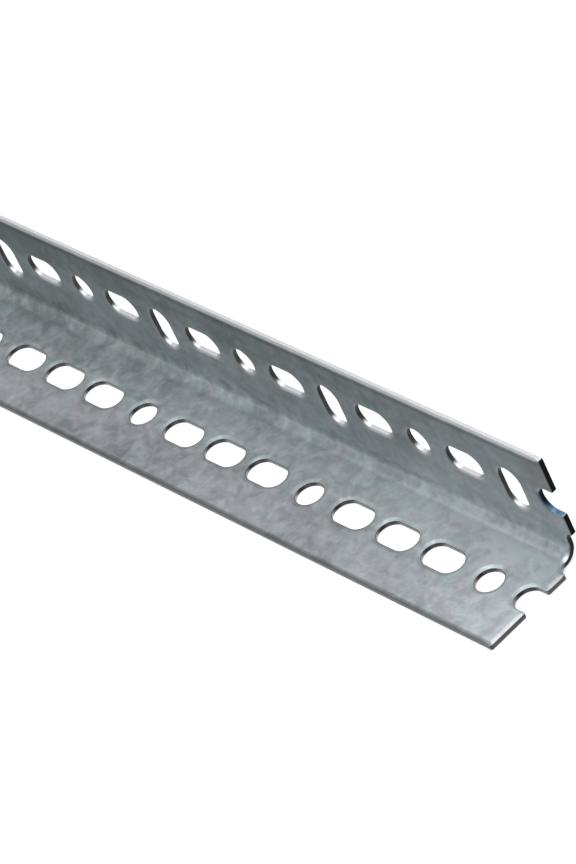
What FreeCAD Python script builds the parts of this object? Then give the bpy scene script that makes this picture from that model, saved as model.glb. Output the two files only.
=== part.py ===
# Slotted steel angle: one galvanised strip, punched along both edges, folded into a
# right-angle section and cut to length through the middle of a slot in each leg.
# Frame: X along the stock, the base leg flat on Z = 0, the upright leg at the back (+Y),
# origin at the middle of the length and of the base leg's width, on the underside.
import FreeCAD, Part
import os
from FreeCAD import Vector

# section
leg = 38.1                # outside width of each leg
thickness = 1.7           # galvanised strip
bend_inside = 3.6         # inside radius of the fold
toe_round = 0.3           # rounding of the four long arrises at the legs' free edges

# punching, repeated along both legs
pitch = 19.05             # from one hole position to the next
pitches = 32              # positions from one cut end to the other
hole = 8.73               # diameter of the round holes and width of the slots
slot = 14.7               # length of the slots over their round ends
base_row = 19.8           # heel to the centres of the base leg's holes
upright_row = 21.7        # heel to the centres of the upright leg's rounds and long slots
cross_row = 19.8          # heel to the centres of the upright leg's cross slots
base_pattern = ("slot", "round", "slot", "slot")
upright_pattern = ("slot", "cross", "slot", "round")

# relief punched across the fold where the stock is cut
relief_half = 3.5         # half of its width, so the depth left in each end
relief_base = 8.3         # how far it reaches from the heel along the base leg
relief_upright = 9.9      # and up the upright leg

length = pitch * pitches
heel = leg / 2            # Y of the upright leg's back face
bend_outside = bend_inside + thickness
over = 1.0                # how far a cutting tool runs past a face


# Both legs are described alike: u along the stock, v from the heel towards the toe,
# w from the outer face into the strip.
def on_base(u, v, w):
    return Vector(u, heel - v, w)


def on_upright(u, v, w):
    return Vector(u, heel - w, v)


def arc(centre, radius, start, middle, end):
    """Edge of a circle in the YZ plane through three directions from its centre."""
    points = []
    for y, z in (start, middle, end):
        size = (y * y + z * z) ** 0.5
        points.append(Vector(0, centre[0] + radius * y / size, centre[1] + radius * z / size))
    return Part.Arc(*points).toShape()


def section():
    """Closed outline of the folded strip, with its fold and its four rounded toe arrises."""
    toe, back, front = -heel, heel, heel - thickness
    r = toe_round
    corners = [
        arc((toe + r, r), r, (-1, 0), (-1, -1), (0, -1)),
        arc((back - bend_outside, bend_outside), bend_outside, (0, -1), (1, -1), (1, 0)),
        arc((back - r, leg - r), r, (1, 0), (1, 1), (0, 1)),
        arc((front + r, leg - r), r, (0, 1), (-1, 1), (-1, 0)),
        arc((front - bend_inside, thickness + bend_inside), bend_inside, (1, 0), (1, -1), (0, -1)),
        arc((toe + r, thickness - r), r, (0, 1), (-1, 1), (-1, 0)),
    ]
    edges = []
    for i, corner in enumerate(corners):
        following = corners[(i + 1) % len(corners)]
        edges += [corner, Part.makeLine(corner.lastVertex().Point, following.firstVertex().Point)]
    return Part.Face(Part.Wire(edges))


def strip():
    """The folded strip before any hole is in it."""
    face = section()
    face.translate(Vector(-length / 2, 0, 0))
    return face.extrude(Vector(length, 0, 0))


def obround(at, u, v, along_u, along_v, radius, depth):
    """Tool for a round-ended hole centred on (u, v), its end centres that far apart."""
    low = -over
    inward = at(0, 0, depth + over) - at(0, 0, low)
    if along_u == along_v == 0:
        return Part.makeCylinder(radius, inward.Length, at(u, v, low), inward)
    run = max(along_u, along_v) / 2
    du, dv = (1, 0) if along_u else (0, 1)

    def point(forward, side):
        return at(u + du * forward - dv * side, v + dv * forward + du * side, low)

    front, rear = (point(s * run, radius) for s in (1, -1))
    edges = [
        Part.Arc(front, point(run + radius, 0), point(run, -radius)).toShape(),
        Part.makeLine(point(run, -radius), point(-run, -radius)),
        Part.Arc(point(-run, -radius), point(-run - radius, 0), rear).toShape(),
        Part.makeLine(rear, front),
    ]
    return Part.Face(Part.Wire(edges)).extrude(inward)


def punches():
    """Tools for every hole; the first and the last position of each leg lie on the cut ends."""
    stretch = slot - hole
    runs = {"round": (0, 0), "slot": (stretch, 0), "cross": (0, stretch)}
    legs = ((on_base, base_pattern, base_row), (on_upright, upright_pattern, upright_row))
    tools = []
    for at, pattern, row in legs:
        for k in range(pitches + 1):
            kind = pattern[k % len(pattern)]
            v = cross_row if kind == "cross" else row
            tools.append(obround(at, length / 2 - k * pitch, v, *runs[kind], hole / 2, thickness))
    return tools


def reliefs():
    """Tools for the slots across the fold, each cut in half by an end of the stock."""
    tools = []
    for end in (-length / 2, length / 2):
        for at, reach in ((on_base, relief_base), (on_upright, relief_upright)):
            run = reach - relief_half + over
            tools.append(obround(at, end, run / 2 - over, 0, run, relief_half, bend_outside))
    return tools


angle = strip().cut(punches())
for tool in reliefs():
    angle = angle.cut(tool)
angle = angle.removeSplitter()
solids = angle.Solids
assert len(solids) == 1 and solids[0].isValid()

os.makedirs("parts", exist_ok=True)
solids[0].exportStep("parts/slotted_angle.step")
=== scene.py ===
"""Looks of the slotted angle: a finely rounded mesh of the punched and folded strip, its
galvanised finish, a pale floor, soft studio light and the camera."""

from collections import namedtuple
import math

import bpy
import numpy as np
from mathutils import Euler, Matrix, Vector
from mathutils.geometry import delaunay_2d_cdt


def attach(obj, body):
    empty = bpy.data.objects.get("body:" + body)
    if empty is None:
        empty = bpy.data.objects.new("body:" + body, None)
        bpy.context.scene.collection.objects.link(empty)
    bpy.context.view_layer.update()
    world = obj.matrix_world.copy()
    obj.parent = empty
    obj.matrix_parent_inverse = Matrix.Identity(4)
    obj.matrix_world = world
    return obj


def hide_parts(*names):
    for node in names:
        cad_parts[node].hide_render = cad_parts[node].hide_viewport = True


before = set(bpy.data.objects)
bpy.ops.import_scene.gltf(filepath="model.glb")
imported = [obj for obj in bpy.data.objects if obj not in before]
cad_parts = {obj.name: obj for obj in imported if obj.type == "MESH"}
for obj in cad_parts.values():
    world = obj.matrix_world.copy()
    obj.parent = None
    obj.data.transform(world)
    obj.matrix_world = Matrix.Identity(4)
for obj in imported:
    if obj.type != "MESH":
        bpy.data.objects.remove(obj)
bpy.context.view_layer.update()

MM = 0.001
QUARTER = math.pi / 2              # of a turn

# Sizes, in mm, as in the CAD
LEG = 38.1
THICKNESS = 1.7
BEND_INSIDE = 3.6
BEND_OUTSIDE = BEND_INSIDE + THICKNESS
PITCH = 19.05
PITCHES = 32
HOLE_R = 8.73 / 2
STRETCH = 14.7 - 8.73              # between the end centres of a slot
BASE_ROW, UPRIGHT_ROW, CROSS_ROW = 19.8, 21.7, 19.8
BASE_PATTERN = ("slot", "round", "slot", "slot")
UPRIGHT_PATTERN = ("slot", "cross", "slot", "round")
RELIEF_R = 3.5
RELIEF_BASE, RELIEF_UPRIGHT = 8.3, 9.9
END = PITCH * PITCHES / 2
HEEL = LEG / 2

# The strip is laid out flat as (x, s, w): s runs across it, 0 where the fold starts in the
# base leg and BEND where it ends in the upright, and w goes in from the outer face.
BEND = (BEND_INSIDE + THICKNESS / 2) * QUARTER
BASE_TOE = BEND_OUTSIDE - LEG
UPRIGHT_TOE = BEND + LEG - BEND_OUTSIDE

# How far a hole's two end centres are from its middle, along the strip and across it
HALF_RUNS = {"round": (0.0, 0.0), "slot": (STRETCH / 2, 0.0), "cross": (0.0, STRETCH / 2)}

# Rounding of an edge, in mm: its reach over the inner face and its depth down the wall, the
# same two at the outer face, how far the coat is worn off the inner edge, 0 to 1, and how far
# that edge is a straight bevel rather than round, 0 to 1. The punch and the shear entered from
# the inner face and drew it down.
Edge = namedtuple("Edge", "in_reach in_depth out_reach out_depth worn bevel")
BASE_SLIT = Edge(1.40, 0.42, 0.30, 0.30, worn=0.0, bevel=0.0)
TOP_SLIT = Edge(1.10, 0.70, 0.15, 0.15, worn=0.55, bevel=0.0)
SHEARED = Edge(1.75, 0.28, 0.10, 0.10, worn=0.5, bevel=0.7)
SHEARED_TAB = Edge(1.75, 0.42, 0.10, 0.10, worn=0.5, bevel=0.7)  # beside the relief
SHEARED_UPRIGHT = Edge(0.90, 0.20, 0.10, 0.10, worn=0.3, bevel=0.0)
CORNER = Edge(0.55, 0.24, 0.08, 0.08, worn=0.5, bevel=0.0)
BASE_PUNCHED = Edge(1.50, 0.48, 0.08, 0.08, worn=0.0, bevel=0.8)
UPRIGHT_PUNCHED = Edge(1.25, 0.50, 0.08, 0.08, worn=0.5, bevel=0.0)
RELIEF_PUNCHED = Edge(1.50, 0.62, 0.08, 0.08, worn=0.8, bevel=0.8)

# Places across the strip, and the rounding that a punched edge has there
PUNCHED_EDGES = (
    (-6.0, BASE_PUNCHED),
    (0.0, RELIEF_PUNCHED),
    (0.35 * BEND, RELIEF_PUNCHED),
    (0.75 * BEND, UPRIGHT_PUNCHED),
)

CORNER_R = 0.65                    # of the outline, where a cut end meets a hole
SLIT_GROWTH = 2.4                  # from a cut end to where a slit edge has its whole rounding
CUT_GROWTH = 1.5                   # from a corner to where a cut end has its whole rounding
ARC_GROWTH = 0.18                  # the same from a corner along a punched arc, as a share of it
FRACTURE = 0.62                    # share of the wall below which the punch tore the steel

# Steps of the mesh
HALF_RING = 24                     # round half a hole
CORNER_STEPS = 5
RELIEF_STEPS = 12                  # from a corner to the fold
ROUND_STEPS_IN, ROUND_STEPS_OUT = 6, 2
FOLD_STEPS = 16
FOLD_ROWS = [BEND * i / FOLD_STEPS for i in range(FOLD_STEPS + 1)]
SAME_PLACE = 1e-6                  # outline points nearer than this are one
INSIDE_ONLY, TOLERANCE = 1, 1e-5   # of the triangulation

# Free points on the flat faces keep the triangles even: their columns along the strip, their
# rows across it, and how far they keep from a hole
GRID = PITCH / 2
COLUMNS = np.arange(-END + GRID, END - GRID / 2, GRID)
FREE_ROWS = (BASE_TOE + 3.2, BASE_TOE + 8.0, -7.4, -3.2, BEND + 3.6, UPRIGHT_TOE - 7.5, UPRIGHT_TOE - 3.4)
HOLE_CLEARANCE = 1.6


def base_s(v):
    """Place across the flat strip of a point of the base leg, v from the heel."""
    return BEND_OUTSIDE - v


def upright_s(v):
    """Place across the flat strip of a point of the upright leg, v from the heel."""
    return BEND + v - BEND_OUTSIDE


def fold(x, s, w):
    """Folds flat points into the angle: places and their local axes across and through it."""
    x, s, w = (np.asarray(a, dtype=float) for a in (x, s, w))
    turn = np.clip(s / BEND, 0, 1) * QUARTER
    sin, cos = np.sin(turn), np.cos(turn)
    r = BEND_OUTSIDE - w
    before, after = np.minimum(s, 0), np.maximum(s - BEND, 0)
    y = HEEL - BEND_OUTSIDE + r * sin + before
    z = BEND_OUTSIDE - r * cos + after
    zero = np.zeros_like(s)
    places = np.stack([x + zero, y, z], axis=-1)
    across = np.stack([zero, cos, sin], axis=-1)
    inward = np.stack([zero, -sin, cos], axis=-1)
    return places, across, inward


# Outlines on the flat strip
def punched_edge(s):
    """Rounding of a punched edge at that place across the strip, widest in the lower fold."""
    places, edges = zip(*PUNCHED_EDGES)
    return Edge(*(float(np.interp(s, places, values)) for values in zip(*edges)))


def partly(first, last, share):
    """The rounding that is that share of the way from the first to the last."""
    return Edge(*(a + (b - a) * share for a, b in zip(first, last)))


class Outline:
    """A closed line on the flat strip: points, unit normals into the steel and edge rounding."""

    def __init__(self):
        self.points, self.normals, self.edges = [], [], []

    def add(self, x, s, angle, edge):
        """Adds a point whose normal points that way, in radians from +x towards +s."""
        if self.points and math.dist(self.points[-1], (x, s)) < SAME_PLACE:
            return                     # where two arcs meet
        self.points.append((x, s))
        self.normals.append((math.cos(angle), math.sin(angle)))
        self.edges.append(edge)

    def arc(self, centre, radius, first, last, steps, edge, hollow=False):
        """An arc whose normal turns from first to last; a hollow one has the steel outside it."""
        side = radius if hollow else -radius
        for i in range(steps + 1):
            angle = first + (last - first) * (i / steps)
            self.add(centre[0] + side * math.cos(angle), centre[1] + side * math.sin(angle), angle, edge)

    def corner(self, s, first, last):
        """A rounded corner of the right-hand cut end, its centre at that place across the strip."""
        self.arc((END - CORNER_R, s), CORNER_R, first, last, CORNER_STEPS, CORNER)

    def punched(self, centre, radius, first, last, steps, from_corner=False, to_corner=False):
        """A hollow arc of a punched hole, its rounding narrower where it comes from a corner."""
        for i in range(steps + 1):
            t = i / steps
            growing = t / ARC_GROWTH if from_corner else 1.0
            shrinking = (1 - t) / ARC_GROWTH if to_corner else 1.0
            angle = first + (last - first) * t
            s = centre[1] + radius * math.sin(angle)
            edge = partly(CORNER, punched_edge(s), min(1.0, growing, shrinking))
            self.add(centre[0] + radius * math.cos(angle), s, angle, edge)

    def sheared(self, low, high, edge):
        """A run of the right-hand cut end between two corners."""
        for s in (low + CUT_GROWTH, high - CUT_GROWTH):
            self.add(END, s, math.pi, edge)

    def half_slot(self, s):
        """Half of a lengthwise slot, opened by the right-hand end, met from below."""
        self.corner(s - HOLE_R - CORNER_R, math.pi, 3 * QUARTER)
        self.punched((END - STRETCH / 2, s), HOLE_R, 3 * QUARTER, QUARTER, HALF_RING,
                     from_corner=True, to_corner=True)
        self.corner(s + HOLE_R + CORNER_R, QUARTER, math.pi)

    def half_relief(self):
        """Half of the slot across the fold, with points where the rows of the fold meet it."""
        low = base_s(RELIEF_BASE) + RELIEF_R
        high = upright_s(RELIEF_UPRIGHT) - RELIEF_R
        reach = math.sqrt((RELIEF_R + CORNER_R) ** 2 - CORNER_R ** 2)
        meet = math.atan2(reach, CORNER_R)
        self.corner(low - reach, math.pi, math.pi + meet)
        turns = [math.asin(max(low - s, 0.0) / RELIEF_R) for s in FOLD_ROWS]
        self.punched((END, low), RELIEF_R, math.pi + meet, math.pi + turns[0], RELIEF_STEPS, from_corner=True)
        for s, turn in zip(FOLD_ROWS, turns):
            self.add(END - RELIEF_R * math.cos(turn), s, math.pi + turn, punched_edge(s))
        self.punched((END, high), RELIEF_R, math.pi, math.pi - meet, RELIEF_STEPS, to_corner=True)
        self.corner(high + reach, math.pi - meet, math.pi)

    def arrays(self):
        return np.array(self.points), np.array(self.normals), np.array(self.edges)


def right_end():
    """The outline round the right-hand cut end, from the base leg's toe to the upright's."""
    line = Outline()
    line.add(END - SLIT_GROWTH, BASE_TOE, QUARTER, BASE_SLIT)
    line.corner(BASE_TOE + CORNER_R, QUARTER, math.pi)
    line.sheared(BASE_TOE, base_s(BASE_ROW) - HOLE_R, SHEARED)
    line.half_slot(base_s(BASE_ROW))
    line.sheared(base_s(BASE_ROW) + HOLE_R, base_s(RELIEF_BASE), SHEARED_TAB)
    line.half_relief()
    line.sheared(upright_s(RELIEF_UPRIGHT), upright_s(UPRIGHT_ROW) - HOLE_R, SHEARED_UPRIGHT)
    line.half_slot(upright_s(UPRIGHT_ROW))
    line.sheared(upright_s(UPRIGHT_ROW) + HOLE_R, UPRIGHT_TOE, SHEARED_UPRIGHT)
    line.corner(UPRIGHT_TOE - CORNER_R, math.pi, 3 * QUARTER)
    line.add(END - SLIT_GROWTH, UPRIGHT_TOE, 3 * QUARTER, TOP_SLIT)
    return line.arrays()


def slit_edge(s, way, edge):
    """Points along a slit edge. way is 1 where they run to the right, with the steel above."""
    points = np.column_stack([COLUMNS[::way], np.full(len(COLUMNS), s)])
    return points, np.tile([0.0, way], (len(points), 1)), np.tile(edge, (len(points), 1))


def strip_outline():
    """The strip's own outline. Its left-hand end is the mirror image of the right-hand one."""
    right = right_end()
    mirror = np.array([-1, 1])
    left = ((right[0] * mirror)[::-1], (right[1] * mirror)[::-1], right[2][::-1])
    top = slit_edge(UPRIGHT_TOE, -1, TOP_SLIT)
    bottom = slit_edge(BASE_TOE, 1, BASE_SLIT)
    return tuple(np.concatenate(parts) for parts in zip(right, top, left, bottom))


def hole_outline(kind, x, s):
    """A hole's outline, its normal pointing away from the hole."""
    line, edge = Outline(), punched_edge(s)
    if kind == "round":
        for i in range(2 * HALF_RING):
            angle = math.pi * i / HALF_RING
            line.add(x + HOLE_R * math.cos(angle), s + HOLE_R * math.sin(angle), angle, edge)
        return line.arrays()
    run_x, run_s = HALF_RUNS[kind]
    start = -QUARTER if kind == "slot" else 0.0
    for side, first in ((1, start), (-1, start + math.pi)):
        centre = (x + side * run_x, s + side * run_s)
        line.arc(centre, HOLE_R, first, first + math.pi, HALF_RING, edge, hollow=True)
    return line.arrays()


def holes():
    """Every whole hole: its kind and its centre on the flat strip."""
    found = []
    for position in range(1, PITCHES):
        x = END - position * PITCH
        found.append((BASE_PATTERN[position % 4], x, base_s(BASE_ROW)))
        kind = UPRIGHT_PATTERN[position % 4]
        found.append((kind, x, upright_s(CROSS_ROW if kind == "cross" else UPRIGHT_ROW)))
    return found


# Mesh
def free_points(punched):
    """Points on the flat faces away from every edge, and the rows of points of the fold."""
    middles = np.array([(x, s) for kind, x, s in punched])
    runs = np.array([HALF_RUNS[kind] for kind, x, s in punched])
    loose = []
    for s in FREE_ROWS:
        for x in COLUMNS[1:-1]:
            away = np.maximum(abs(middles - (x, s)) - runs, 0)
            if np.hypot(away[:, 0], away[:, 1]).min() > HOLE_R + HOLE_CLEARANCE:
                loose.append((x, s))
    rows = [[(x, s) for x in COLUMNS[1:-1]] for s in FOLD_ROWS]
    return loose, rows


def row_ends(outline):
    """For each row of the fold, the numbers of the outline's points at its left and right ends."""
    relief_x = END - RELIEF_R
    ends = []
    for s in FOLD_ROWS:
        away = [np.hypot(outline[:, 0] - x, outline[:, 1] - s) for x in (-relief_x, relief_x)]
        ends.append([int(np.argmin(distances)) for distances in away])
    return ends


def triangulate(loops, loose, rows, ends):
    """Triangles over the inner face between the loops. ends gives each row's two loop points."""
    flat, edges = [], []
    for loop in loops:
        first = len(flat)
        flat += [tuple(p) for p in loop]
        edges += [(first + i, first + (i + 1) % len(loop)) for i in range(len(loop))]
    on_loops = len(flat)
    loop_of = np.concatenate([np.full(len(loop), i) for i, loop in enumerate(loops)])
    flat += loose
    for row, (left, right) in zip(rows, ends):
        first = len(flat)
        flat += row
        chain = [left] + list(range(first, len(flat))) + [right]
        edges += list(zip(chain, chain[1:]))
    corners = [Vector(p) for p in flat]
    _, _, faces, origins, _, _ = delaunay_2d_cdt(corners, edges, [], INSIDE_ONLY, TOLERANCE)
    back = [numbers[0] for numbers in origins]
    assert len(back) == len(flat) and len(set(back)) == len(flat)
    triangles = []
    for face in faces:
        a, b, c = (back[i] for i in face)
        if max(a, b, c) < on_loops and loop_of[a] == loop_of[b] == loop_of[c] > 0:
            continue                   # inside a hole
        (ax, ay), (bx, by), (cx, cy) = flat[a], flat[b], flat[c]
        turned = (bx - ax) * (cy - ay) - (by - ay) * (cx - ax)
        triangles.append((a, b, c) if turned > 0 else (a, c, b))
    return np.array(triangles), np.array(flat), on_loops


def edge_steps(edges):
    """Steps from the inner face over an edge to the outer face, for an array of roundings.

    Each step is (offset into the steel, w, share of the normal out of the steel, share of it
    through the strip, how far it is bare steel, 0 to 1)."""
    in_reach, in_depth, out_reach, out_depth, worn, bevel = edges.T
    steps = []
    for i in range(ROUND_STEPS_IN + 1):
        a = QUARTER * i / ROUND_STEPS_IN
        even = bevel * i / ROUND_STEPS_IN
        away = (1 - bevel) * (1 - math.sin(a)) + bevel - even
        down = (1 - bevel) * (1 - math.cos(a)) + even
        # The first and the last step keep the normals of the face and of the wall
        straight = 0.0 if i in (0, ROUND_STEPS_IN) else bevel
        slope = straight / QUARTER
        # The wear is whole from half-way down the edge
        bare = 1.0 if i == ROUND_STEPS_IN else worn * min(1.0, 2 * i / ROUND_STEPS_IN)
        steps.append((in_reach * away, THICKNESS - in_depth * down,
                      in_depth * ((1 - straight) * math.sin(a) + slope),
                      in_reach * ((1 - straight) * math.cos(a) + slope), bare))
    for i in range(ROUND_STEPS_OUT + 1):
        a = QUARTER * (1 - i / ROUND_STEPS_OUT)
        steps.append((out_reach * (1 - math.sin(a)), out_depth * (1 - math.cos(a)),
                      out_depth * math.sin(a), -out_reach * math.cos(a), 1.0 if i == 0 else 0.0))
    return steps


class Skin:
    """The mesh's points: places in mm, normals, how far bare, and depth as a share of the wall."""

    def __init__(self):
        self.places, self.normals, self.bare, self.depth = [], [], [], []

    def add(self, at, w, out_share, through_share, out_way, bare):
        """Adds flat points, folded, and returns the number of the first of them."""
        first = sum(len(places) for places in self.places)
        places, across, inward = fold(at[:, 0], at[:, 1], w)
        along = np.zeros_like(places)
        along[:, 0] = 1
        out = along * out_way[:, :1] + across * out_way[:, 1:]
        normals = out * np.asarray(out_share)[..., None] + inward * np.asarray(through_share)[..., None]
        self.places.append(places)
        self.normals.append(normals / np.linalg.norm(normals, axis=1)[:, None])
        self.bare.append(np.broadcast_to(bare, len(at)))
        self.depth.append(np.broadcast_to(1 - np.asarray(w) / THICKNESS, len(at)))
        return first


def wall_faces(counts, firsts):
    """Triangles down the walls. counts is the number of points of each loop, the strip's first."""
    faces, start = [], 0
    for count in counts:
        here = start + np.arange(count)
        after = start + (np.arange(count) + 1) % count
        # The strip's outline runs with the steel on its left, a hole's with the steel on its right
        a, b = (here, after) if start == 0 else (after, here)
        for upper, lower in zip(firsts, firsts[1:]):
            faces.append(np.column_stack([upper + a, lower + a, lower + b]))
            faces.append(np.column_stack([upper + a, lower + b, upper + b]))
        start += count
    return faces


def angle_mesh():
    """One closed mesh of the whole angle, with the normals of the true shape."""
    punched = holes()
    loops = [strip_outline()] + [hole_outline(*hole) for hole in punched]
    points, normals, edges = (np.concatenate(parts) for parts in zip(*loops))
    steps = edge_steps(edges)
    counts = [len(loop[0]) for loop in loops]
    inner = np.split(points + normals * steps[0][0][:, None], np.cumsum(counts)[:-1])
    triangles, flat, on_loops = triangulate(inner, *free_points(punched), row_ends(loops[0][0]))

    skin, firsts = Skin(), []
    for offset, w, out_share, through_share, bare in steps:
        at = points + normals * offset[:, None]
        firsts.append(skin.add(at, w, out_share, through_share, -normals, bare))
    free = flat[on_loops:]
    none, ones = np.zeros(len(free)), np.ones(len(free))
    inner_free = skin.add(free, THICKNESS * ones, none, ones, np.zeros_like(free), 0.0)
    outer_free = skin.add(free, none, none, -ones, np.zeros_like(free), 0.0)

    on_loop = triangles < on_loops
    inner_face = np.where(on_loop, triangles + firsts[0], triangles - on_loops + inner_free)
    outer_face = np.where(on_loop, triangles + firsts[-1], triangles - on_loops + outer_free)[:, ::-1]
    faces = [inner_face, outer_face] + wall_faces(counts, firsts)
    return [np.concatenate(parts) for parts in (skin.places, skin.normals, faces, skin.bare, skin.depth)]


def make_angle():
    """The one piece, with the two measures of its cuts that the finish reads."""
    places, normals, faces, bare, depth = angle_mesh()
    mesh = bpy.data.meshes.new("slotted_angle_steel")
    mesh.from_pydata((places * MM).tolist(), [], faces.tolist())
    mesh.update()
    for name, values in (("cut_steel", bare), ("cut_depth", depth)):
        layer = mesh.attributes.new(name, "FLOAT", "POINT")
        layer.data.foreach_set("value", np.ascontiguousarray(values, dtype=np.float32))
    mesh.polygons.foreach_set("use_smooth", [True] * len(mesh.polygons))
    mesh.normals_split_custom_set_from_vertices(normals.tolist())
    piece = bpy.data.objects.new("slotted_angle_steel", mesh)
    bpy.context.scene.collection.objects.link(piece)
    return piece


# Nodes
def rgb(red, green=None, blue=None):
    """A colour for a socket. One number gives a grey."""
    return (red, red if green is None else green, red if blue is None else blue, 1.0)


class Nodes:
    """Short calls for building a node tree. The functions that use them call them n."""

    def __init__(self, tree):
        self.tree = tree
        tree.nodes.clear()

    def add(self, kind, inputs=None, **values):
        node = self.tree.nodes.new(kind)
        for name, value in values.items():
            setattr(node, name, value)
        for name, value in (inputs or {}).items():
            socket = node.inputs[name]
            if isinstance(value, bpy.types.NodeSocket):
                self.tree.links.new(value, socket)
            else:
                socket.default_value = value
        return node

    def math(self, operation, a, b=0.0):
        return self.add("ShaderNodeMath", {0: a, 1: b}, operation=operation).outputs[0]

    def plus(self, a, b):
        return self.math("ADD", a, b)

    def minus(self, a, b):
        return self.math("SUBTRACT", a, b)

    def times(self, a, b):
        return self.math("MULTIPLY", a, b)

    def highest(self, a, b):
        return self.math("MAXIMUM", a, b)

    def ramp(self, value, low, high, at_low, at_high):
        """Goes evenly from at_low to at_high while a value goes from low to high."""
        sizes = {"Value": value, "From Min": low, "From Max": high, "To Min": at_low, "To Max": at_high}
        return self.add("ShaderNodeMapRange", sizes).outputs[0]

    def ramp_mm(self, place, low, high, at_low, at_high):
        return self.ramp(place, low * MM, high * MM, at_low, at_high)

    def near_mm(self, place, centre, full, gone, height=1.0):
        """Is at its height within one distance of a centre, full, and 0 beyond another, gone."""
        away = self.math("ABSOLUTE", self.minus(place, centre * MM))
        return self.ramp_mm(away, full, gone, height, 0.0)

    def swing(self, noise, size):
        """A noise's middle range stretched to swing between -size and size."""
        return self.ramp(noise, 0.3, 0.7, -size, size)

    def noise(self, vector, sizes, output="Fac"):
        inputs = zip(("Vector", "Scale", "Detail", "Roughness", "Distortion"), (vector,) + sizes)
        return self.add("ShaderNodeTexNoise", dict(inputs)).outputs[output]

    def stretched(self, vector, scale):
        return self.add("ShaderNodeMapping", {"Vector": vector, "Scale": scale}).outputs[0]

    def mix(self, share, a, b, blend="MIX"):
        inputs = {0: share, 6: a, 7: b}
        return self.add("ShaderNodeMix", inputs, data_type="RGBA", blend_type=blend).outputs[2]


# Noises of the finish: scale, detail, roughness and distortion
CLOUDS = (34.0, 3.0, 0.55, 0.4)
BLOTCHES = (160.0, 2.0, 0.42, 1.2)
PATCHES = (420.0, 2.0, 0.55, 0.8)
SPECKS = (1300.0, 1.0, 0.5, 0.0)
STREAKS = (260.0, 3.0, 0.6, 0.0)
RAGGED = (300.0, 2.0, 0.5, 0.0)
FEATHERS = (520.0, 2.0, 0.5, 0.0)
HUES = (170.0, 2.0, 0.5, 0.0)
TEAR = (1500.0, 3.0, 0.7, 0.0)
INK_RUNS = (420.0, 2.0, 0.5, 0.0)

CRYSTAL_SCALE = 170.0
RAGGED_BY = 0.0045                 # how far the crystals' borders are pushed about, in metres
WHOLE_TURN = 6.283

# Stretching of a noise: its scale along X, Y and Z
DRAWN_OUT = (0.12, 1.0, 1.0)
COMBED = (0.30, 1.0, 1.0)
TORN_UPRIGHT = (1.0, 1.0, 0.6)

# Colours of the zinc, of the steel on the cuts, and of the marks
ZINC_DARK, ZINC_LIGHT = rgb(0.315, 0.352, 0.362), rgb(0.66, 0.715, 0.735)
WARM_TINT, GREEN_TINT = rgb(1.05, 0.98, 1.01), rgb(0.96, 1.015, 1.0)
FRONT_TINT = rgb(0.86, 0.815, 0.835)
# Painted shade beside both slit edges
SLIT_EDGE_SHADE = rgb(0.08, 0.075, 0.07)
BURNISHED, TORN, TORN_GRAIN = rgb(0.91, 0.91, 0.92), rgb(0.80, 0.80, 0.81), rgb(0.62, 0.62, 0.63)
# The sheared ends' pale grey: partly their own finish, partly painted light on the base leg's ends
SHEARED_PALE_AND_LIT = rgb(0.96, 0.95, 0.97)
INK_DARK, INK_LIGHT, INK_DROP = rgb(0.035, 0.12, 0.30), rgb(0.12, 0.29, 0.50), rgb(0.33, 0.50, 0.75)
SMUDGE = rgb(0.44, 0.36, 0.37)
# Colours of painted shade: dark steel on the upright's cut ends and along the front slit edge, dark coat
# along the front slit edge, and a dark ring at the top of the hole walls
STEEL_SHADE, FRONT_EDGE_SHADE, HOLE_RIM_SHADE = rgb(0.03), rgb(0.08), rgb(0.10)

# Centres of the marks at the right-hand end, in mm
INK_AT = (END - 4.6, HEEL - 0.8, 19.5)
DROP_AT = (END - 4.0, 15.6, 2.7)
SMUDGE_AT = (END - 4.0, HEEL - THICKNESS, 32.0)

# The coat's tone is 0 where it is as light as most of it, and this far from 0 at its extremes
TONE_RANGE = 1.4


class Finish(Nodes):
    """The finish's nodes, with the places, masks and noises that several of its layers share."""

    def __init__(self, tree):
        super().__init__(tree)
        self.where = self.add("ShaderNodeTexCoord").outputs["Object"]
        self.x, self.y, self.z = self.add("ShaderNodeSeparateXYZ", {0: self.where}).outputs
        self.facing = self.add("ShaderNodeNewGeometry").outputs["Normal"]
        self.bare = self.add("ShaderNodeAttribute", attribute_name="cut_steel").outputs["Fac"]
        self.depth = self.add("ShaderNodeAttribute", attribute_name="cut_depth").outputs["Fac"]
        self.on_upright = self.ramp_mm(self.z, 6.0, 10.0, 0.0, 1.0)
        self.at_end = self.ramp_mm(self.math("ABSOLUTE", self.x), END - 0.5, END - 0.25, 0.0, 1.0)
        self.blotches = self.noise(self.where, BLOTCHES)
        self.specks = self.noise(self.where, SPECKS)
        self.tear = self.noise(self.stretched(self.where, TORN_UPRIGHT), TEAR)
        # The mottling is fainter on the upright leg
        self.fainter = self.by_leg(1.0, 0.55)

    def by_leg(self, base, upright):
        """One number on the base leg and another on the upright."""
        return self.ramp(self.on_upright, 0.0, 1.0, base, upright)

    def spot(self, at, inner, outer):
        """1 within one distance of a place, sinking to 0 at another, in mm."""
        ends = {0: self.where, 1: tuple(v * MM for v in at)}
        away = self.add("ShaderNodeVectorMath", ends, operation="DISTANCE").outputs["Value"]
        return self.ramp_mm(away, outer, inner, 0.0, 1.0)


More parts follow.
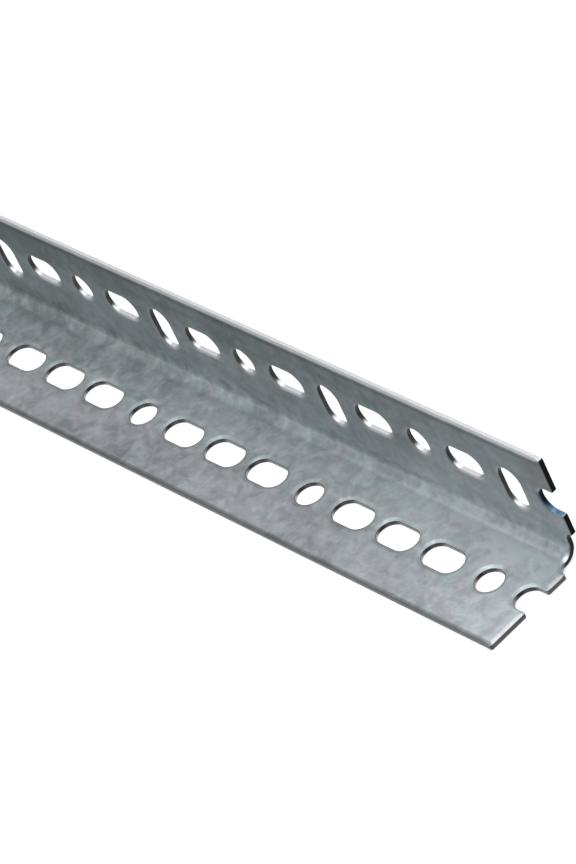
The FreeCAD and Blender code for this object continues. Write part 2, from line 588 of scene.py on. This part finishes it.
# Layers of the finish
def crystals(n):
    """Small crystals with ragged borders: how light each is, and feathers in its own direction."""
    warp = n.noise(n.where, RAGGED, output="Color")
    bent = n.add("ShaderNodeVectorMath", {0: warp, "Scale": RAGGED_BY}, operation="SCALE").outputs[0]
    moved = n.add("ShaderNodeVectorMath", {0: n.where, 1: bent}, operation="ADD").outputs[0]
    cells = n.add("ShaderNodeTexVoronoi", {"Vector": moved, "Scale": CRYSTAL_SCALE}).outputs["Color"]
    channels = n.add("ShaderNodeSeparateColor", {0: cells}).outputs
    turning = {"Vector": n.where, "Axis": n.facing, "Angle": n.times(channels[1], WHOLE_TURN)}
    turned = n.add("ShaderNodeVectorRotate", turning, rotation_type="AXIS_ANGLE").outputs[0]
    feathers = n.noise(n.stretched(turned, COMBED), FEATHERS)
    return n.ramp(channels[0], 0.0, 1.0, -0.25, 0.25), feathers


def mottled_tone(n, crystal, feathers):
    """Soft clouds, from a hand's breadth down to a few tenths of a millimetre, and crystals."""
    clouds = n.noise(n.where, CLOUDS)
    patches = n.noise(n.where, PATCHES)
    streaks = n.noise(n.stretched(n.where, DRAWN_OUT), STREAKS)
    mottled = n.plus(n.swing(n.blotches, 0.75), crystal)
    tone = n.plus(n.swing(clouds, 0.40), n.times(mottled, n.fainter))
    for noise, size in ((n.specks, 0.08), (streaks, 0.25), (feathers, 0.09)):
        tone = n.plus(tone, n.swing(noise, size))
    return n.plus(tone, n.times(n.swing(patches, 0.36), n.fainter))


def lengthwise_light_and_tone(n):
    """Where the legs are lighter, above 0, or duller, below 0, than most of the strip; the lighter parts are
    painted light.
    """
    # Painted light: both legs are lighter towards the right-hand end, most of all on both sides of the fold
    painted_light = n.times(n.ramp_mm(n.x, 215.0, 290.0, 0.0, 0.50), n.by_leg(1.0, 0.6))
    by_fold = n.times(n.ramp_mm(n.z, 22.0, 15.0, 0.0, 1.0), n.ramp_mm(n.y, -3.0, 3.0, 0.0, 1.0))
    painted_light = n.plus(painted_light, n.times(by_fold, n.ramp_mm(n.x, 215.0, 280.0, 0.0, 0.42)))
    # The upright leg is duller round the middle of its length, above all in its upper half
    high_up = n.ramp_mm(n.z, 20.0, 32.0, 0.0, 1.0)
    dull_share = n.plus(n.times(n.on_upright, 0.10), n.times(high_up, 1.20))
    dull = n.times(n.near_mm(n.x, 60.0, 50.0, 230.0), dull_share)
    # A stretch of the base leg is darker, and the upright beside it less so
    dark = n.times(n.near_mm(n.x, 40.0, 15.0, 110.0, height=0.75), n.ramp_mm(n.y, -8.0, 6.0, 0.0, 1.0))
    return n.minus(n.minus(painted_light, dull), n.times(dark, n.by_leg(1.0, 0.5)))


def fold_light_and_shade(n):
    """Painted light and shade on the inner face of the fold and beside it."""
    # Painted shade on the fold's lower part towards the right-hand end, a little painted light on it
    # further left, and a painted highlight line along the fold just above it
    lower_fold = n.times(n.ramp_mm(n.z, 1.7, 2.4, 0.0, 1.0), n.ramp_mm(n.z, 3.45, 3.30, 0.0, 1.0))
    lightness = n.ramp_mm(n.x, 190.0, 285.0, 0.12, -0.45)
    line = n.near_mm(n.z, 3.35, 0.05, 0.20)
    fold_shading = n.plus(n.times(lower_fold, lightness), n.times(line, 0.45))
    on_inner_face = n.ramp(n.depth, 0.0, 0.3, 1.0, 0.0)
    # Painted light along the base leg beside the fold, towards the right-hand end
    along_fold = n.times(n.ramp_mm(n.y, 9.5, 12.5, 0.0, 1.0), n.ramp_mm(n.z, 1.8, 2.1, 1.0, 0.0))
    painted_light = n.times(along_fold, n.ramp_mm(n.x, 190.0, 240.0, 0.0, 0.50))
    return n.plus(n.times(fold_shading, on_inner_face), painted_light)


def zinc_colour(n, tone):
    """The coat's colour before its marks."""
    coat = n.mix(n.ramp(tone, -TONE_RANGE, TONE_RANGE, 0.0, 1.0), ZINC_DARK, ZINC_LIGHT)
    # Some spots are a little warmer, some a little greener than the rest
    hues = n.add("ShaderNodeSeparateColor", {0: n.noise(n.where, HUES, output="Color")}).outputs
    for hue, tint in ((hues[0], WARM_TINT), (hues[1], GREEN_TINT)):
        coat = n.mix(n.ramp(hue, 0.45, 0.70, 0.0, 1.0), coat, tint, "MULTIPLY")
    # The front half of the base leg is duller and less green than the rest, but not at the end
    front = n.times(n.ramp_mm(n.y, 2.0, -7.0, 0.0, 1.0), n.ramp_mm(n.x, 235.0, 285.0, 1.0, 0.1))
    coat = n.mix(front, coat, FRONT_TINT, "MULTIPLY")
    # Painted shade: dark bands on the coat beside both slit edges, on and just inside their rounding
    base_slit_shade = n.ramp_mm(n.y, -HEEL + 1.5, -HEEL + 1.1, 0.0, 0.46)
    top_slit_shade = n.times(n.ramp_mm(n.z, LEG - 2.8, LEG - 2.0, 0.0, 0.30),
                          n.ramp_mm(n.z, LEG - 1.3, LEG - 0.9, 1.0, 0.0))
    return n.mix(n.highest(base_slit_shade, top_slit_shade), coat, SLIT_EDGE_SHADE)


def steel_finish(n):
    """Colour and roughness of the cuts: a burnished band where the punch entered, torn below."""
    # The upright's slit edge is torn much less
    not_on_top = n.ramp_mm(n.z, LEG - 1.0, LEG - 0.5, 1.0, 0.25)
    torn = n.times(n.ramp(n.depth, FRACTURE - 0.35, FRACTURE, 0.0, 1.0), not_on_top)
    steel = n.mix(torn, BURNISHED, TORN)
    steel = n.mix(n.ramp(n.tear, 0.35, 0.65, 0.0, 0.4), steel, TORN_GRAIN)
    return steel, n.ramp(torn, 0.0, 1.0, 0.32, 0.40)


def front_edge_shade(n):
    """Painted shade: the front slit edge is dark, but for a thin line at its foot."""
    return n.times(n.ramp_mm(n.y, -HEEL + 0.9, -HEEL + 0.5, 0.0, 0.42), n.ramp_mm(n.z, 0.55, 0.85, 0.0, 1.0))


def marked_steel(n, steel, roughness, front_shade):
    """The cuts with their ink and painted shade: the sheared ends are paler, partly with painted light,
    and rougher than the punched walls, blue marking ink ran over one cut, and the upright's ends and
    the front slit edge are darkened with painted shade."""
    inked = n.times(n.spot(INK_AT, 4.5, 5.5), 0.9)
    ink = n.mix(n.ramp(n.noise(n.where, INK_RUNS), 0.40, 0.60, 0.0, 1.0), INK_DARK, INK_LIGHT)
    # The sheared ends are paler: partly their own finish, partly painted light
    steel = n.mix(n.at_end, n.mix(inked, steel, ink), SHEARED_PALE_AND_LIT)
    # Painted shade: the upright's cut ends are darkened
    upright_end_shade = n.times(n.at_end, n.ramp_mm(n.z, 6.0, 8.0, 0.0, 0.9))
    steel = n.mix(n.highest(upright_end_shade, front_shade), steel, STEEL_SHADE)
    return steel, n.highest(roughness, n.times(n.highest(n.at_end, inked), 0.56))


def marked_coat(n, coat, front_shade):
    """The coat with painted shade along the front slit edge, the drop of ink by the fold and the smudge near
    the top corner.
    """
    coat = n.mix(front_shade, coat, FRONT_EDGE_SHADE)
    coat = n.mix(n.times(n.spot(DROP_AT, 0.8, 2.2), 0.5), coat, INK_DROP)
    return n.mix(n.times(n.spot(SMUDGE_AT, 2.0, 9.0), 0.42), coat, SMUDGE)


def hole_rim_shade(n):
    """Painted shade: a dark ring at the top of each hole's wall."""
    rim = n.times(n.ramp(n.depth, 0.215, 0.26, 0.0, 1.0), n.ramp(n.depth, 0.32, 0.45, 1.0, 0.0))
    # The rows of holes, clear of the fold and the slit edges
    on_base = n.times(n.ramp_mm(n.y, -16.0, -15.0, 0.0, 1.0), n.ramp_mm(n.y, 8.0, 10.0, 1.0, 0.0))
    on_leg = n.times(n.ramp_mm(n.z, 11.0, 13.0, 0.0, 1.0), n.ramp_mm(n.z, LEG - 3.0, LEG - 2.0, 1.0, 0.0))
    # The painted shade is left off the walls of the upright's holes that face up, where the light from above
    # falls
    facing_up = n.add("ShaderNodeSeparateXYZ", {0: n.facing}).outputs["Z"]
    on_leg = n.times(on_leg, n.ramp(facing_up, 0.1, 0.5, 1.0, 0.0))
    return n.times(rim, n.highest(on_base, on_leg))


def metal_share(n):
    """How metallic the surface is: the punched walls the most, the sheared base ends the least."""
    bright = n.times(n.times(n.bare, n.minus(1.0, n.at_end)), 0.25)
    matt = n.times(n.times(n.bare, n.at_end), n.ramp_mm(n.z, 6.0, 8.0, 0.65, 0.0))
    return n.plus(0.75, n.minus(bright, matt))


def grain(n, feathers):
    """Normals of the finest relief."""
    height = n.plus(n.times(feathers, 0.15), n.times(n.times(n.blotches, 0.9), n.fainter))
    height = n.plus(height, n.times(n.specks, 0.12))
    height = n.plus(height, n.times(n.times(n.tear, n.bare), 1.2))
    return n.add("ShaderNodeBump", {"Strength": 0.13, "Distance": 0.00004, "Height": height}).outputs[0]


def zinc():
    """Galvanised strip: clouded, softly mottled zinc on the faces, torn bare steel on the cuts."""
    material = bpy.data.materials.new("galvanised_zinc")
    material.use_nodes = True
    n = Finish(material.node_tree)
    crystal, feathers = crystals(n)
    # The tone carries painted light and shade along the legs and the fold
    tone = n.plus(n.plus(mottled_tone(n, crystal, feathers), lengthwise_light_and_tone(n)), fold_light_and_shade(n))
    # Painted shade along the front slit edge, on its coat and its steel
    front_shade = front_edge_shade(n)
    coat = marked_coat(n, zinc_colour(n, tone), front_shade)
    coat_roughness = n.ramp(tone, -TONE_RANGE, TONE_RANGE, 0.62, 0.48)
    steel, steel_roughness = marked_steel(n, *steel_finish(n), front_shade)
    # Painted shade: a dark ring at the top of the hole walls
    colour = n.mix(n.times(hole_rim_shade(n), 0.60), n.mix(n.bare, coat, steel), HOLE_RIM_SHADE)
    roughness = n.plus(n.times(coat_roughness, n.minus(1.0, n.bare)), n.times(steel_roughness, n.bare))
    shader = n.add("ShaderNodeBsdfPrincipled", {"Base Color": colour, "Metallic": metal_share(n),
                                                "Roughness": roughness, "Normal": grain(n, feathers)})
    n.add("ShaderNodeOutputMaterial", {"Surface": shader.outputs[0]})
    return material


# Studio, in metres
FLOOR_HALF = 8.0
FLOOR_DROP = 0.00002               # keeps the floor clear of the steel that lies on it
LAMP_AT, LAMP_TOWARDS = (0.26, 0.14, 0.70), (0.20, 0.0, 0.0)
LAMP_SIZE = 0.75
LAMP_POWER = 2.90

# Soft light all round: the way that each glow comes from, how narrow it is, and its colour
GLOWS = (
    ((-0.10, -0.45, 0.89), 8.0, (1.40, 1.46, 1.48)),
    ((-0.714, 0.347, 0.608), 10.0, (0.80, 0.80, 0.83)),
    ((-0.714, 0.62, 0.33), 20.0, (0.60, 0.60, 0.61)),
    ((-0.714, -0.68, 0.10), 16.0, (1.10, 1.12, 1.10)),
    ((-0.72, -0.35, -0.60), 6.0, (0.37, 0.39, 0.40)),
    ((-0.10, -0.95, 0.30), 6.0, (0.12, 0.12, 0.12)),
    ((-0.20, 0.90, -0.40), 6.0, (0.80, 0.80, 0.82)),
    ((0.70, -0.60, -0.40), 8.0, (0.18, 0.18, 0.19)),
)

# The photograph's view, from a fit to the hole pattern and the cut end
CAMERA_AT = (1.17888, -0.46961, 0.84964)
CAMERA_TURNS = (49.48025, 20.54708, 47.36996)      # degrees about X, Y and Z
CAMERA_LENS = 203.26593            # mm
SENSOR = 36.0                      # mm, along the picture's longer side
FARTHEST_VIEW = 50.0


def floor_white():
    """Matt white that glows a little, so that the floor is as pale as the photograph's ground."""
    material = bpy.data.materials.new("floor_white")
    material.use_nodes = True
    inputs = material.node_tree.nodes["Principled BSDF"].inputs
    inputs["Base Color"].default_value = rgb(0.85)
    inputs["Roughness"].default_value = 0.9
    inputs["Specular IOR Level"].default_value = 0.0
    inputs["Emission Color"].default_value = rgb(1.0)
    inputs["Emission Strength"].default_value = 0.60
    return material


def make_floor():
    """A wide pale floor. It shows itself to the camera only, so that it adds no light."""
    mesh = bpy.data.meshes.new("floor")
    corners = [(x * FLOOR_HALF, y * FLOOR_HALF, 0) for x, y in ((-1, -1), (1, -1), (1, 1), (-1, 1))]
    mesh.from_pydata(corners, [], [(0, 1, 2, 3)])
    mesh.materials.append(floor_white())
    floor = bpy.data.objects.new("floor", mesh)
    bpy.context.scene.collection.objects.link(floor)
    floor.location.z = -FLOOR_DROP
    floor.visible_diffuse = False
    floor.visible_glossy = False
    floor.visible_shadow = False
    return floor


def make_lamp():
    """A square soft box overhead."""
    data = bpy.data.lights.new("overhead", "AREA")
    data.size = LAMP_SIZE
    data.energy = LAMP_POWER
    lamp = bpy.data.objects.new("overhead", data)
    lamp.location = LAMP_AT
    lamp.rotation_euler = (Vector(LAMP_TOWARDS) - Vector(LAMP_AT)).to_track_quat("-Z", "Y").to_euler()
    bpy.context.scene.collection.objects.link(lamp)


def make_world():
    """A plain white room with soft glows that light the steel."""
    world = bpy.data.worlds.new("studio")
    bpy.context.scene.world = world
    world.use_nodes = True
    n = Nodes(world.node_tree)
    direction = n.add("ShaderNodeTexCoord").outputs["Generated"]
    light = (0.0, 0.0, 0.0)
    for towards, narrowness, colour in GLOWS:
        along = {0: direction, 1: Vector(towards).normalized()}
        facing = n.add("ShaderNodeVectorMath", along, operation="DOT_PRODUCT").outputs["Value"]
        share = n.math("POWER", n.highest(facing, 0.0), narrowness)
        glow = n.add("ShaderNodeVectorMath", {0: colour, "Scale": share}, operation="SCALE").outputs[0]
        light = n.add("ShaderNodeVectorMath", {0: light, 1: glow}, operation="ADD").outputs[0]
    glows = n.add("ShaderNodeBackground", {"Color": light})
    white = n.add("ShaderNodeBackground", {"Color": rgb(1.0)})
    seen = n.add("ShaderNodeLightPath").outputs["Is Camera Ray"]
    mixed = n.add("ShaderNodeMixShader", {0: seen, 1: glows.outputs[0], 2: white.outputs[0]})
    n.add("ShaderNodeOutputWorld", {"Surface": mixed.outputs[0]})


def make_camera():
    """The camera at the photograph's view."""
    data = bpy.data.cameras.new("camera")
    data.lens = CAMERA_LENS
    data.sensor_width = SENSOR
    data.clip_end = FARTHEST_VIEW
    camera = bpy.data.objects.new("camera", data)
    turned = Euler([math.radians(angle) for angle in CAMERA_TURNS]).to_matrix().to_4x4()
    camera.matrix_world = Matrix.Translation(CAMERA_AT) @ turned
    bpy.context.scene.collection.objects.link(camera)
    bpy.context.scene.camera = camera


steel = make_angle()
steel.data.materials.append(zinc())
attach(steel, "root")
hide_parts("slotted_angle")

make_floor()
make_world()
make_lamp()
make_camera()
bpy.context.scene.view_settings.view_transform = "Standard"
